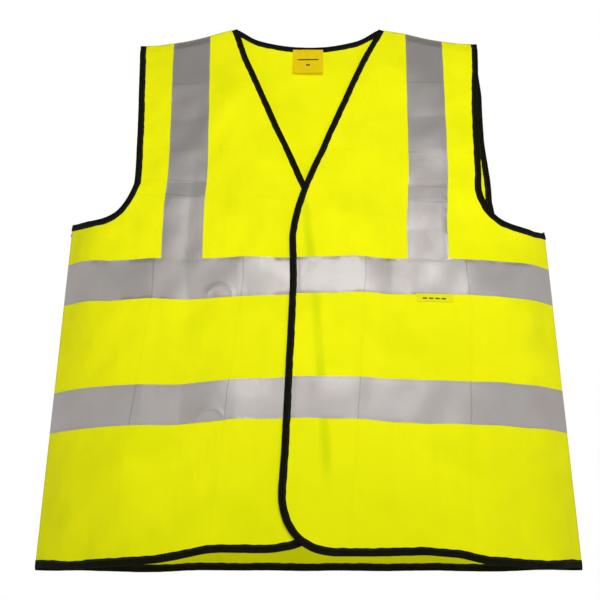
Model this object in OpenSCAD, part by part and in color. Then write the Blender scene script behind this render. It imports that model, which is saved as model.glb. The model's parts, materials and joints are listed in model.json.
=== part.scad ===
// High visibility vest, size large, upright with its two fronts closed.
// Millimetres. X runs towards the wearer's left, the fronts face -Y and Z is up.
// The origin is on the middle plane of the vest, level with the back hem.
//
// Each panel is a thin sheet that leans away from the middle plane towards the hem
// and turns in to the side seam. Cloth, tape and edge binding are layers on that
// sheet: a layer is the space between two copies of the sheet's surface, and a piece
// is the part of a layer inside a flat pattern outline.

/* [Body] */
// Width of the closed vest from side seam to side seam
body_w = 600; // [580:2:640]
// Height of the neck points above the back hem
body_l = 725; // [715:1:740]
// Distance of the front and back hems from the middle plane
hem_depth = 55; // [45:1:60]
// Distance of the panels from the middle plane at the neck points
top_depth = 1.5; // [1.3:0.1:2.5]
// Height of the front hem above the back hem, in the middle
front_hem_rise = 8; // [5:1:20]
// Height of the front hem above the back hem, at the side seams
side_hem_rise = 2; // [1:1:5]

/* [Neck and armholes] */
// Width of the neck opening between the neck points
neck_w = 198; // [190:2:206]
// Drop of the back neckline below the neck points
neck_drop = 23; // [20:1:30]
// Height at which the two front necklines meet
v_point_z = 471; // [461:1:481]
// Width across the outer ends of the shoulders
shoulder_w = 466; // [456:2:480]
// Drop of each shoulder from the neck point to its outer end
shoulder_drop = 26; // [20:1:32]
// Width of the front between the armholes at its narrowest
armhole_w = 442; // [436:2:450]
// Extra width of the back on each side between the armholes
back_extra = 12; // [8:1:14]
// Height of the armhole where it meets the side seam
armhole_z = 409; // [400:1:415]

/* [Fronts] */
// How far the left front's edge passes the middle below the neckline
left_lap_top = 20; // [16:1:24]
// How far the left front's edge passes the middle near the hem
left_lap_low = 32; // [26:1:36]
// How far the right front's edge passes the middle below the neckline
right_lap_top = 14; // [12:1:15]
// How far the right front's edge passes the middle near the hem
right_lap_low = 19; // [17:1:20]
// Size of the rounded lower corner of each front
corner_r = 64; // [50:1:70]
// Distance of the fold line of each front from the middle, at the hem
fold_foot_x = 145; // [140:1:150]
// Angle of each front at its fold line that lays the left one over the right one
lap_angle = 0.7; // [0.65:0.05:1]

/* [Tape] */
// Width of the reflective tape
tape_w = 50; // [50:1:54]
// Height of the middle of the chest band
chest_z = 332; // [327:1:337]
// Height of the middle of the waist band
waist_z = 174; // [165:1:183]
// Distance of the middle of each brace from the middle of the vest, level with the neck points
brace_top_x = 162; // [158:1:166]
// Distance of the middle of each brace from the middle of the vest, at the chest band
brace_foot_x = 150; // [148:1:156]

/* [Thickness] */
// Thickness of the cloth
cloth_t = 0.8; // [0.6:0.1:0.8]
// Thickness of the reflective tape
tape_t = 0.5; // [0.3:0.1:0.5]
// Thickness of one ply of the edge binding
binding_t = 0.65; // [0.5:0.05:0.65]
// Width of the edge binding
binding_w = 8.5; // [7:0.5:9]

/* [Closure and labels] */
// Width of the hook and loop strips
strip_w = 11; // [8:1:11]
// Length of each hook and loop strip
strip_l = 26; // [20:1:26]
// Width of the neck label
neck_label_w = 42; // [36:1:48]
// Length of the neck label
neck_label_l = 40; // [30:1:44]
// Width of the label under the chest band
chest_label_w = 44; // [36:1:46]
// Height of the label under the chest band
chest_label_h = 10; // [8:1:12]

/* [Hidden] */

cloth_colour = [0.90, 0.95, 0.05];
tape_colour = [0.72, 0.72, 0.72];
binding_colour = [0.09, 0.09, 0.07];
label_colour = [0.93, 0.74, 0.10];

// Clearance between two pieces that lie against each other
lay = 0.05;
// Clearance between pieces that meet edge to edge
butt = 0.4;
// Clearance between the front and back bindings where they meet at a side seam
binding_butt = 1.3;
// Length by which an outline runs past a seam before it is trimmed there
spill = 20;
// Height and depth that are safely beyond every part of the vest
far = 400;
// Number of steps along each curved stretch of an outline
steps = 10;
// Angle by which the arc of the back neckline runs past the neck points
neck_spill = 5;
// Distance from the middle at which the front hem starts to drop towards the side seam
hem_bend_x = 90;
// Drop of the front hem from the side seam to the end of its outline beyond the seam
hem_fall = 2;
// Distance beyond the side seam at which the armhole curve starts
arm_start = 2;
// Drop of the armhole line from there to the end of its outline
arm_fall = 4;
// Drop of the corner that shapes the armhole's lower curve, and its distance outwards
arm_turn_drop = 10;
arm_turn_out = 9;
// Height of the armhole's narrowest stretch above the side seam
arm_low_h = 53;
arm_high_h = 61;
// Height of the corner that shapes its upper curve, and its share of the way to the shoulder end
arm_lean_h = 161;
arm_lean = 0.3;
// Share of the lap at which a neckline turns into the front edge
lap_turn = 0.7;
// Start of that turn from the V point, and the height where it ends, for the two fronts
left_turn_rise = 8;
left_edge_z = 385;
right_turn_rise = -10;
right_edge_z = 420;
// Gap on each side of a fold line between the swinging and the fixed part of a front
fold_gap = 0.15;
// Limits of the hem, armhole and neck parts of the binding
hem_zone_z = 100;
arm_zone_z = 300;
neck_zone_z = 550;
arm_zone_w = 50;
// Distances of the highest closure strip above the chest band and the lowest below the waist band
strip_above = 2;
strip_below = 30;
// Distance of the closure strips from the middle, towards the wearer's right
strip_shift = 3;
// Thickness of the closure strips
strip_t = 0.9;
// Distance of the cloth's own edge inside the bound edge
cloth_inset = 3;
// Depth of the fold axes below the thickness of the cloth and two plies of binding
axis_sink = 0.3;
// Distance of the fold axes outside the inner face of the cloth
axis_out = cloth_t + 2 * binding_t - axis_sink;

side_x = body_w / 2;
neck_x = neck_w / 2;
shoulder_x = shoulder_w / 2;
tape_in = cloth_t + lay;
tape_out = tape_in + tape_t;
binding_in = -lay - binding_t;
binding_out = cloth_t + lay + binding_t;

// The front of the sheet is a plane, and two steeper planes turn it in to the seam
seam_slope = 0.8;
turn_slope = 0.35;
turn_w = 30;
turn_x = side_x - turn_w;
turn_y = seam_slope * (side_x - turn_x);

function depth(z) = hem_depth + (top_depth - hem_depth) * z / body_l;
function fold_x(z) = neck_x + (fold_foot_x - neck_x) * (1 - z / body_l);
function shoulder_z(x) = body_l - (x - neck_x) * shoulder_drop / (shoulder_x - neck_x);
// The straight part of each neckline, as x at a height and as the height at an x
function v_x(z) = neck_x * (z - v_point_z) / (body_l - v_point_z);
function v_z(x) = v_point_z + x * (body_l - v_point_z) / neck_x;

// Points of a curve from a to b that leaves and arrives pointing at the corner c
function bend(a, c, b) = [
    for (i = [0 : steps])
        let (t = i / steps)
        (1 - t) * (1 - t) * a + 2 * t * (1 - t) * c + t * t * b
];
function unit(v) = v / norm(v);
// A closed counterclockwise outline moved inwards by d along every edge
function inset(points, d) = [
    for (i = [0 : len(points) - 1])
        let (before = points[(i + len(points) - 1) % len(points)])
        let (after = points[(i + 1) % len(points)])
        let (u = unit(points[i] - before))
        let (v = unit(after - points[i]))
        let (m = [-u.y, u.x])
        let (n = [-v.y, v.x])
        points[i] + d * (m + n) / (1 + m * n)
];

// ---- Outlines, in the pattern plane: first number across, second number up ----

// The armhole from the side seam up to the shoulder, for a panel that is e wider between them
function armhole_curve(e) =
    let (waist_x = armhole_w / 2 + e)
    let (start = [side_x + arm_start, armhole_z])
    let (turn = [waist_x + arm_turn_out, armhole_z - arm_turn_drop])
    let (low = [waist_x, armhole_z + arm_low_h])
    let (high = [waist_x, armhole_z + arm_high_h])
    let (lean = [waist_x + arm_lean * (shoulder_x - waist_x), armhole_z + arm_lean_h])
    let (end = [shoulder_x, shoulder_z(shoulder_x)])
    concat(
        [[side_x + spill, armhole_z - arm_fall]],
        bend(start, turn, low),
        bend(high, lean, end),
        [end + [0, spill]]
    );

// One front, drawn for the wearer's left. Its edge passes the middle by lap_top and lap_low,
// and the neckline bends into that edge between the heights bend_z and edge_z.
function front_points(lap_top, lap_low, bend_z, edge_z) =
    let (turn = -lap_turn * lap_top)
    let (corner = [-lap_low, front_hem_rise])
    concat(
        [[v_x(body_l + spill), body_l + spill]],
        bend([v_x(bend_z), bend_z], [turn, v_z(turn)], [-lap_top, edge_z]),
        bend(corner + [0, corner_r], corner, corner + [corner_r, 0]),
        [[hem_bend_x, front_hem_rise], [side_x + spill, side_hem_rise - hem_fall]],
        armhole_curve(0)
    );

function mirrored(points) = [for (i = [len(points) - 1 : -1 : 0]) [-points[i].x, points[i].y]];

function back_points() =
    let (neck_r = (neck_x * neck_x + neck_drop * neck_drop) / (2 * neck_drop))
    let (reach = asin(neck_x / neck_r) + neck_spill)
    let (middle_z = body_l - neck_drop + neck_r)
    let (neckline = [
        for (i = [-steps : steps])
            [neck_r * sin(reach * -i / steps), middle_z - neck_r * cos(reach * i / steps)]
    ])
    concat([[side_x + spill, 0]], armhole_curve(back_extra), neckline,
           mirrored(armhole_curve(back_extra)), [[-side_x - spill, 0]]);

module left_shape(d) {
    turn_z = v_point_z + left_turn_rise;
    polygon(inset(front_points(left_lap_top, left_lap_low, turn_z, left_edge_z), d));
}
module right_shape(d) {
    turn_z = v_point_z + right_turn_rise;
    polygon(inset(front_points(right_lap_top, right_lap_low, turn_z, right_edge_z), d));
}
module back_shape(d) polygon(inset(back_points(), d));

// The pattern below the shoulder lines and between the side seams, less a clearance at the seams
module between_seams(side_gap) {
    edge = side_x - side_gap;
    top = shoulder_z(edge) - butt;
    ridge = shoulder_z(0) - butt;
    polygon([[-edge, -spill], [edge, -spill], [edge, top], [0, ridge], [-edge, top]]);
}

// The part of a front that swings about its fold line, and the part that stays on the body
module flap_area() {
    low = fold_x(-far) - fold_gap;
    high = fold_x(2 * far) - fold_gap;
    polygon([[-far, -far], [low, -far], [high, 2 * far], [-far, 2 * far]]);
}
module body_area() {
    low = fold_x(-far) + fold_gap;
    high = fold_x(2 * far) + fold_gap;
    polygon([[low, -far], [far, -far], [far, 2 * far], [high, 2 * far]]);
}
module level_strip(z) translate([-far, z - tape_w / 2]) square([2 * far, tape_w]);
module brace_strip() {
    foot = chest_z + tape_w / 2 + 2 * lay;
    half = tape_w / 2;
    polygon([
        [brace_foot_x - half, foot], [brace_foot_x + half, foot],
        [brace_top_x + half, body_l], [brace_top_x - half, body_l]
    ]);
}
module hem_zone() translate([-far, hem_zone_z - far]) square([2 * far, far]);
module arm_zone() translate([shoulder_x - arm_zone_w, arm_zone_z]) square([far, far]);
module neck_zone() {
    reach = shoulder_x - arm_zone_w;
    translate([-reach, neck_zone_z]) square([2 * reach, far]);
}

// ---- Layers ----

// All space behind the front surface, which is moved forwards by out
module behind_front(out, reach) {
    edge = side_x + reach;
    translate([0, -out, 0]) intersection() {
        translate([0, 0, -reach])
            linear_extrude(height = 2 * far + reach)
                polygon([
                    [-edge, seam_slope * reach], [-turn_x, -turn_y],
                    [0, -turn_y - turn_slope * turn_x],
                    [turn_x, -turn_y], [edge, seam_slope * reach], [edge, far + out], [-edge, far + out]
                ]);
        rotate([90, 0, 90])
            linear_extrude(height = 2 * edge, center = true)
                polygon([
                    [-depth(-2 * reach), -2 * reach], [far + out, -2 * reach],
                    [far + out, 2 * far], [-depth(2 * far), 2 * far]
                ]);
    }
}
// The layer from a to b outside the inner face of the front cloth
module front_layer(a, b) {
    difference() {
        behind_front(b, 2 * spill);
        behind_front(a, 3 * spill);
    }
}
module cut_out() rotate([90, 0, 0]) linear_extrude(height = far, center = true) children();

// A piece of a layer of the front, or of the back, in the outline of its children
module on_front(a, b) {
    intersection() {
        front_layer(a, b);
        cut_out() children();
    }
}
module on_back(a, b) mirror([0, 1, 0]) on_front(a, b) children();

// Turns a piece by an angle about the fold line of the wearer's left front
module about_fold(angle) {
    foot = [fold_foot_x, -(hem_depth + axis_out), 0];
    top = [neck_x, -(top_depth + axis_out), body_l];
    translate(foot) rotate(a = angle, v = top - foot) translate(-foot) children();
}
module on_right() mirror([1, 0, 0]) children();
module on_left_flap() about_fold(lap_angle) children();
module on_right_flap() on_right() about_fold(-lap_angle) children();

// ---- Pieces of one front, drawn for the wearer's left ----

module flap_cloth() {
    on_front(0, cloth_t) intersection() {
        children();
        between_seams(butt);
        flap_area();
    }
}
module flap_band(z) {
    on_front(tape_in, tape_out) intersection() {
        children();
        flap_area();
        level_strip(z);
    }
}
// The binding folds over the cloth edge. Child 0 is the whole outline, child 1 its inner
// side and child 2 the slot for the cloth; the rest trim it.
module folded_binding(side_gap) {
    difference() {
        on_front(binding_in, binding_out) intersection() {
            difference() {
                children(0);
                children(1);
            }
            children(3);
            between_seams(side_gap);
        }
        on_front(-lay, cloth_t + lay) children(2);
    }
}
module left_ring(side_gap) {
    folded_binding(side_gap) {
        left_shape(0);
        left_shape(binding_w);
        left_shape(cloth_inset - lay);
        children();
    }
}
module right_ring(side_gap) {
    folded_binding(side_gap) {
        right_shape(0);
        right_shape(binding_w);
        right_shape(cloth_inset - lay);
        children();
    }
}
module back_ring(side_gap) {
    mirror([0, 1, 0]) folded_binding(side_gap) {
        back_shape(0);
        back_shape(binding_w);
        back_shape(cloth_inset - lay);
        children();
    }
}
module side_cloth() {
    on_front(0, cloth_t) intersection() {
        left_shape(cloth_inset);
        between_seams(butt);
        body_area();
    }
}
module band_end(z) {
    on_front(tape_in, tape_out) intersection() {
        left_shape(binding_w + lay);
        between_seams(butt);
        body_area();
        level_strip(z);
    }
}
module front_brace() {
    on_front(tape_in, tape_out) intersection() {
        between_seams(butt);
        brace_strip();
    }
}
module hem_ring() {
    left_ring(binding_butt) intersection() {
        body_area();
        hem_zone();
    }
}
module armhole_ring() {
    left_ring(binding_butt) intersection() {
        body_area();
        arm_zone();
    }
}
module neck_point_ring() {
    left_ring(binding_butt) intersection() {
        body_area();
        neck_zone();
    }
}
module side_seam() {
    allowance_w = 12;
    foot_gap = 3;
    top_gap = 5;
    thickness = 0.5;
    foot = side_hem_rise + binding_w + foot_gap;
    top = armhole_z - binding_w - top_gap;
    translate([side_x - allowance_w, -thickness / 2, foot]) cube([allowance_w, thickness, top - foot]);
}
module shoulder_seam() {
    allowance_w = 10;
    end_gap = 5;
    edge_gap = 1;
    fill = -2 * lay;
    intersection() {
        behind_front(fill, spill);
        mirror([0, 1, 0]) behind_front(fill, 2 * spill);
        cut_out() intersection() {
            left_shape(binding_w + edge_gap);
            translate([neck_x + binding_w + end_gap, 0]) square([shoulder_x - neck_x, 2 * far]);
            polygon([
                [0, shoulder_z(0)], [0, shoulder_z(0) - allowance_w],
                [side_x, shoulder_z(side_x) - allowance_w], [side_x, shoulder_z(side_x)]
            ]);
        }
    }
}
module closure_strips(a, b) {
    high = chest_z + tape_w / 2 + strip_above;
    middle = (chest_z + waist_z - strip_l) / 2;
    low = waist_z - tape_w / 2 - strip_below - strip_l;
    on_front(a, b)
        for (foot = [high, middle, low])
            translate([-strip_shift - strip_w / 2, foot]) square([strip_w, strip_l]);
}

// ---- Nodes: cloth ----

module back_panel() {
    color(cloth_colour) on_back(0, cloth_t) intersection() {
        back_shape(cloth_inset);
        between_seams(butt);
    }
}
module left_front_panel() {
    color(cloth_colour) on_left_flap() flap_cloth() left_shape(cloth_inset);
}
module right_front_panel() {
    color(cloth_colour) on_right_flap() flap_cloth() right_shape(cloth_inset);
}
module left_front_side() color(cloth_colour) side_cloth();
module right_front_side() color(cloth_colour) on_right() side_cloth();

// ---- Nodes: reflective tape ----

module back_band(z) {
    on_back(tape_in, tape_out) intersection() {
        between_seams(butt);
        level_strip(z);
    }
}
module back_chest_band() color(tape_colour) back_band(chest_z);
module back_waist_band() color(tape_colour) back_band(waist_z);
module left_chest_band() color(tape_colour) on_left_flap() flap_band(chest_z) left_shape(binding_w + lay);
module right_chest_band() color(tape_colour) on_right_flap() flap_band(chest_z) right_shape(binding_w + lay);
module left_waist_band() color(tape_colour) on_left_flap() flap_band(waist_z) left_shape(binding_w + lay);
module right_waist_band() color(tape_colour) on_right_flap() flap_band(waist_z) right_shape(binding_w + lay);
module left_chest_band_end() color(tape_colour) band_end(chest_z);
module right_chest_band_end() color(tape_colour) on_right() band_end(chest_z);
module left_waist_band_end() color(tape_colour) band_end(waist_z);
module right_waist_band_end() color(tape_colour) on_right() band_end(waist_z);
module left_front_brace() color(tape_colour) front_brace();
module right_front_brace() color(tape_colour) on_right() front_brace();
module left_back_brace() color(tape_colour) mirror([0, 1, 0]) front_brace();
module right_back_brace() color(tape_colour) on_right() mirror([0, 1, 0]) front_brace();

// ---- Nodes: edge binding ----

module back_neck_binding() {
    color(binding_colour) {
        back_ring(binding_butt) neck_zone();
        neck_point_ring();
        on_right() neck_point_ring();
    }
}
module left_front_binding() color(binding_colour) on_left_flap() left_ring(binding_butt) flap_area();
module right_front_binding() color(binding_colour) on_right_flap() right_ring(binding_butt) flap_area();
module left_hem_binding() color(binding_colour) hem_ring();
module right_hem_binding() color(binding_colour) on_right() hem_ring();
module back_hem_binding() color(binding_colour) back_ring(binding_butt) hem_zone();
module left_front_armhole_binding() color(binding_colour) armhole_ring();
module right_front_armhole_binding() color(binding_colour) on_right() armhole_ring();
module left_back_armhole_binding() color(binding_colour) back_ring(binding_butt) arm_zone();
module right_back_armhole_binding() color(binding_colour) on_right() back_ring(binding_butt) arm_zone();

// ---- Nodes: seams, closure and labels ----

module left_side_seam() color(cloth_colour) side_seam();
module right_side_seam() color(cloth_colour) on_right() side_seam();
module left_shoulder_seam() color(cloth_colour) shoulder_seam();
module right_shoulder_seam() color(cloth_colour) on_right() shoulder_seam();

module hook_strips() {
    color(binding_colour) on_right_flap() on_right()
        closure_strips(cloth_t + lay, cloth_t + lay + strip_t);
}
module loop_strips() color(binding_colour) on_left_flap() closure_strips(-lay - strip_t, -lay);
module neck_label() {
    label_t = 0.5;
    edge_gap = 0.5;
    hang_gap = 0.9;
    top = body_l - neck_drop - binding_w - edge_gap;
    hinge_y = depth(top) - hang_gap;
    color(label_colour)
        translate([-neck_label_w / 2, hinge_y - label_t / 2, top - neck_label_l])
            cube([neck_label_w, label_t, neck_label_l]);
}
module chest_label() {
    label_t = 0.4;
    fold_clear = 3;
    top = chest_z - tape_w / 2 - lay;
    color(label_colour) on_front(tape_in, tape_in + label_t)
        translate([fold_x(top) + fold_clear, top - chest_label_h]) square([chest_label_w, chest_label_h]);
}

back_panel();
left_front_panel();
right_front_panel();
left_front_side();
right_front_side();
back_chest_band();
back_waist_band();
left_chest_band();
right_chest_band();
left_waist_band();
right_waist_band();
left_chest_band_end();
right_chest_band_end();
left_waist_band_end();
right_waist_band_end();
left_front_brace();
right_front_brace();
left_back_brace();
right_back_brace();
back_neck_binding();
left_front_binding();
right_front_binding();
left_hem_binding();
right_hem_binding();
back_hem_binding();
left_front_armhole_binding();
right_front_armhole_binding();
left_back_armhole_binding();
right_back_armhole_binding();
left_side_seam();
right_side_seam();
left_shoulder_seam();
right_shoulder_seam();
hook_strips();
loop_strips();
neck_label();
chest_label();
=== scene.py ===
"""Looks of a high visibility vest: cloth, reflective tape, edge binding, closure and labels.

Every soft piece is drawn in a flat pattern, x across and z up in metres, and laid on one of two
curved sheets, the front and the back. Tape, binding and stitches so follow the same folds as the
cloth under them. "out" is a distance outside the cloth's inner face.
"""
import json
import math

import bpy
import numpy as np
from mathutils import Matrix, Vector
from mathutils.geometry import delaunay_2d_cdt

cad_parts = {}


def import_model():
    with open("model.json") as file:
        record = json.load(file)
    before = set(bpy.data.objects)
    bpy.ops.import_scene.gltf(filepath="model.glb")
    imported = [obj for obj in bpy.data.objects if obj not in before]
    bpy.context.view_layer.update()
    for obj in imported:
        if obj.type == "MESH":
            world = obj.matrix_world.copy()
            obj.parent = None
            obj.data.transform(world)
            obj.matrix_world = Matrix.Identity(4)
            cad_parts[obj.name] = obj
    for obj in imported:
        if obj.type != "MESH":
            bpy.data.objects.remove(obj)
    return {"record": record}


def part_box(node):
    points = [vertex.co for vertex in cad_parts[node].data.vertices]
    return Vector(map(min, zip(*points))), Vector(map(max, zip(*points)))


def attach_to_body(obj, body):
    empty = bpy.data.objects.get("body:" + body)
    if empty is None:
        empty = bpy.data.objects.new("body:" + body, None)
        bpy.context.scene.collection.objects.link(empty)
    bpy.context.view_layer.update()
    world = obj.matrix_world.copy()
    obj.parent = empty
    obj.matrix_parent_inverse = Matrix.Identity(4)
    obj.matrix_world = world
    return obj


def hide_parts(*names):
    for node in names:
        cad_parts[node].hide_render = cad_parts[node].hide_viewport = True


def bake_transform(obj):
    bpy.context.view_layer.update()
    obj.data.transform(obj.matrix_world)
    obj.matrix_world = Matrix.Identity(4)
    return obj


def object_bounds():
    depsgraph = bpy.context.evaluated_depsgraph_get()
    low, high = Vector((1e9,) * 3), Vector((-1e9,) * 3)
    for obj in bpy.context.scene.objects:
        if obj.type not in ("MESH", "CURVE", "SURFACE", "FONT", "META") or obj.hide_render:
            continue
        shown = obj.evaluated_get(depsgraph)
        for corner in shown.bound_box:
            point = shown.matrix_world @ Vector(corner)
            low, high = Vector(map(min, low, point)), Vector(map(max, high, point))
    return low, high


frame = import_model()
cad_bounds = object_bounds()
record = frame["record"]
joints = {j["name"]: j for j in record["behaviour"]["joints"]}
mounts = {m["name"]: m for m in record["mounts"]}

# ---- Sizes from the frame, in metres ----

FRONT = -1.0
BACK = 1.0
LEFT = 1.0
RIGHT = -1.0
MM = 0.001

SIDE_X = cad_bounds[1].x
TOP_Z = mounts["shoulder_line"]["pos_m"][2]
AXIS_OUT = 1.8 * MM
left_fold = joints["left_front_fold"]
FOOT_X = left_fold["pos_m"][0]
HEM_DEPTH = -left_fold["pos_m"][1] - AXIS_OUT
NECK_X = FOOT_X + left_fold["axis"][0] / left_fold["axis"][2] * TOP_Z
TOP_DEPTH = HEM_DEPTH - left_fold["axis"][1] / left_fold["axis"][2] * TOP_Z

CHEST = (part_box("back_chest_band")[0].z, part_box("back_chest_band")[1].z)
WAIST = (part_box("back_waist_band")[0].z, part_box("back_waist_band")[1].z)
TAPE_W = CHEST[1] - CHEST[0]
BRACE_FOOT_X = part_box("left_front_brace")[0].x
BRACE_TOP_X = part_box("left_front_brace")[1].x - TAPE_W
LAP_LOW = {LEFT: -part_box("left_front_binding")[0].x, RIGHT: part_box("right_front_binding")[1].x}
LAP_TOP = {LEFT: 20 * MM, RIGHT: 14 * MM}

SHOULDER_X = 233 * MM
SHOULDER_DROP = 26 * MM
NECK_DROP = 23 * MM
V_POINT_Z = 471 * MM
ARMHOLE_X = 221 * MM
ARMHOLE_Z = 409 * MM
BACK_EXTRA = 12 * MM
FRONT_HEM_Z = 8 * MM
SIDE_HEM_Z = 2 * MM
HEM_BEND_X = 90 * MM
CORNER_R = 64 * MM
LAP_ANGLE = math.radians(0.7)

SEAM_SLOPE = 0.8
TURN_SLOPE = 0.35
TURN_IN = 30 * MM

CLOTH_OUT = (0.2 * MM, 0.6 * MM)
TAPE_OUT = (0.75 * MM, 1.1 * MM)
BINDING_W = 8.5 * MM
SEAM_GAP = 0.3 * MM
FOLD_RUN = 38 * MM
FOLD_SINK = 0.5 * MM
STITCH_PITCH = 3.4 * MM
STITCH_LENGTH = 2.5 * MM
STITCH_RADIUS = 0.24 * MM
STITCH_SIDES = 6
EDGE_STEP = 2.5 * MM
OUTWARD = np.array([0.0, -1.0, 0.0])


# ---- The curved sheets ----

def smooth(t):
    t = np.clip(t, 0.0, 1.0)
    return t * t * (3.0 - 2.0 * t)


def ease(value, start, run):
    """0 before start and 1 after a run from there, both in millimetres. A negative run faces down."""
    return smooth((value - start * MM) / (run * MM))


def flat_grid(xs, zs):
    """The x and z of every point of a grid, row by row."""
    return (grid.ravel() for grid in np.meshgrid(xs, zs))


def shoulder_z(x):
    return TOP_Z - (np.abs(x) - NECK_X) * SHOULDER_DROP / (SHOULDER_X - NECK_X)


def fold_x(z):
    return NECK_X + (FOOT_X - NECK_X) * (1.0 - z / TOP_Z)


def sheet_depth(x, z):
    """Distance of the cloth's inner face from the middle plane of the vest."""
    softness = 4 * MM
    least = 0.2 * MM
    open_share = 0.12
    across = np.abs(x)
    plane = HEM_DEPTH + (TOP_DEPTH - HEM_DEPTH) * z / TOP_Z
    seam = SEAM_SLOPE * (SIDE_X - across)
    turn = SEAM_SLOPE * TURN_IN + TURN_SLOPE * (SIDE_X - TURN_IN - across)
    nearest = -softness * np.log(sum(np.exp(-distance / softness) for distance in (plane, seam, turn)))
    closed_top = open_share + (1 - open_share) * ease(shoulder_z(x) - z, 0, 14)
    return np.maximum(nearest, least) * closed_top


def wave_set(seed, count, shortest, longest, tilt):
    """Seeded sine waves: a row is the rate across, the rate up and the phase."""
    rng = np.random.RandomState(seed)
    rate = 2.0 * math.pi / rng.uniform(shortest, longest, count)
    angle = rng.normal(0.0, tilt, count)
    return np.stack([rate * np.cos(angle), rate * np.sin(angle), rng.uniform(0, 2 * math.pi, count)], 1)


def wave_field(waves, x, z):
    total = sum(np.sin(across * x + up * z + phase) for across, up, phase in waves)
    return total / math.sqrt(len(waves) / 2.0)


def wave_pair(front_seed, back_seed, *form):
    return {FRONT: wave_set(front_seed, *form), BACK: wave_set(back_seed, *form)}


# Waves in the sheets: seeds, how many, shortest and longest in metres, and tilt; then their heights
BROAD = wave_pair(11, 23, 9, 0.10, 0.24, 0.55)
MIDDLE = wave_pair(31, 47, 14, 0.035, 0.075, 0.7)
FLUTES = wave_pair(53, 59, 5, 0.07, 0.13, 0.12)
FADE = wave_set(61, 5, 0.12, 0.3, 1.5)
BROAD_RISE = 0.55 * MM
MIDDLE_RISE = 0.16 * MM
FLUTE_RISE = 1.6 * MM
DENT_RISE = 0.5 * MM
DENT_WIDTH = 2.2 * MM

# Packing folds across the vest: place, height out of the sheet, and how far the chest and waist
# tapes are pulled up there, in millimetres
UPRIGHT_FOLDS = {
    FRONT: [(-300, 0, 1.5, -3), (-240, -0.4, -5, -3.5), (-190, 1.6, -2.2, -3.2), (-145, -0.6, -3.6, -2.4),
            (-84, 1.5, 0.8, 4.6), (0, -0.4, 2.6, 6), (64, 1.6, 4, 4.4), (96, 0.2, 1.8, 1.2),
            (190, 0.9, 1, -1.6), (240, -0.3, -2, -2), (300, 0, 0, 0)],
    BACK: [(-300, 0, 0, 0), (-205, 1.5, -2, -1), (-70, -1.2, 1, 2), (75, 1.4, 1, 1), (200, -1, -2, -1),
           (300, 0, 0, 0)],
}
# Level folds: height above the hem, height out of the sheet, in millimetres
LEVEL_FOLDS = {
    FRONT: [(360, 0), (400, -0.3), (442, 0.5), (465, -0.4), (516, 0.9), (570, -0.4), (631, 0.7), (700, 0)],
    BACK: [(300, 0), (360, 0.6), (430, -0.7), (520, 0.4), (590, -0.6), (660, 0.5), (700, 0)],
}
# The upright folds lean slightly: their places above are those at this height
FOLD_LEAN = 0.08
FOLD_MIDDLE_Z = 0.27
# Lines along the sharpest folds, painted darker as crease shade and, on the tape, as bead wear too: places
# across at the hem, and heights
PRESSED_X = (-0.212, -0.106, 0.0424, 0.168)
PRESSED_Z = (0.442, 0.465, 0.516, 0.631)
# Small curved dents: middle across, middle up and radius
DENTS = [(-106 * MM, 306 * MM, 16 * MM), (-112 * MM, 148 * MM, 16 * MM)]

# Slack cloth: a coarse flat sheet buckled by cloth physics while its tapes and sewn edges are held
SLACK_STEP = 8 * MM
SLACK_GROWTH = 0.005
SLACK_FRAMES = 20
SLACK_SEED_RISE = 0.4 * MM
SLACK_LIMIT = 4.0 * MM
SLACK_SHARE = 0.85
SLACK_X = np.arange(-SIDE_X, SIDE_X + 0.5 * SLACK_STEP, SLACK_STEP)
SLACK_Z = np.arange(0.0, TOP_Z + 0.5 * SLACK_STEP, SLACK_STEP)


def held_parts(x, z):
    """1 where a sheet is held: under the tapes, along the side seams and shoulders, and at the hem."""
    reach = np.abs(x)
    margin = 3 * MM
    held = (z < margin) | (reach > SIDE_X - 2 * SLACK_STEP) | (z > shoulder_z(x) - SLACK_STEP)
    held |= (reach > ARMHOLE_X - margin) & (z > ARMHOLE_Z)
    for low, high in (CHEST, WAIST):
        held |= (z > low - margin) & (z < high + margin)
    brace = BRACE_FOOT_X + (BRACE_TOP_X - BRACE_FOOT_X) * smooth((z - CHEST[1]) / (TOP_Z - CHEST[1]))
    held |= (z > CHEST[0]) & (reach > brace - margin) & (reach < brace + TAPE_W + margin)
    return held


def buckled(side):
    """Relief of one slack sheet after the cloth simulation, as a grid of rises."""
    x, z = flat_grid(SLACK_X, SLACK_Z)
    rise = SLACK_SEED_RISE * wave_field(MIDDLE[side], x, z)
    mesh = bpy.data.meshes.new("slack_sheet")
    mesh.from_pydata(np.stack([x, rise, z], 1).tolist(), [], grid_faces(len(SLACK_Z), len(SLACK_X)))
    sheet = new_object("slack_sheet", mesh)
    scene = bpy.context.scene
    group = sheet.vertex_groups.new(name="held")
    group.add(np.flatnonzero(held_parts(x, z)).tolist(), 1.0, "REPLACE")
    physics = sheet.modifiers.new("slack", "CLOTH")
    physics.settings.vertex_group_mass = "held"
    physics.settings.shrink_min = -SLACK_GROWTH
    physics.settings.quality = 4
    physics.settings.mass = 0.05
    physics.settings.bending_stiffness = 0.3
    physics.settings.effector_weights.gravity = 0.0
    first = scene.frame_current
    for step in range(1, SLACK_FRAMES + 1):
        scene.frame_set(step)
    settled = sheet.evaluated_get(bpy.context.evaluated_depsgraph_get())
    places = np.array([vertex.co for vertex in settled.data.vertices])
    scene.frame_set(first)
    bpy.data.objects.remove(sheet)
    bpy.data.meshes.remove(mesh)
    moved = SLACK_LIMIT * np.tanh((places[:, 1] - rise) / SLACK_LIMIT)
    return moved.reshape(len(SLACK_Z), len(SLACK_X))


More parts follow.
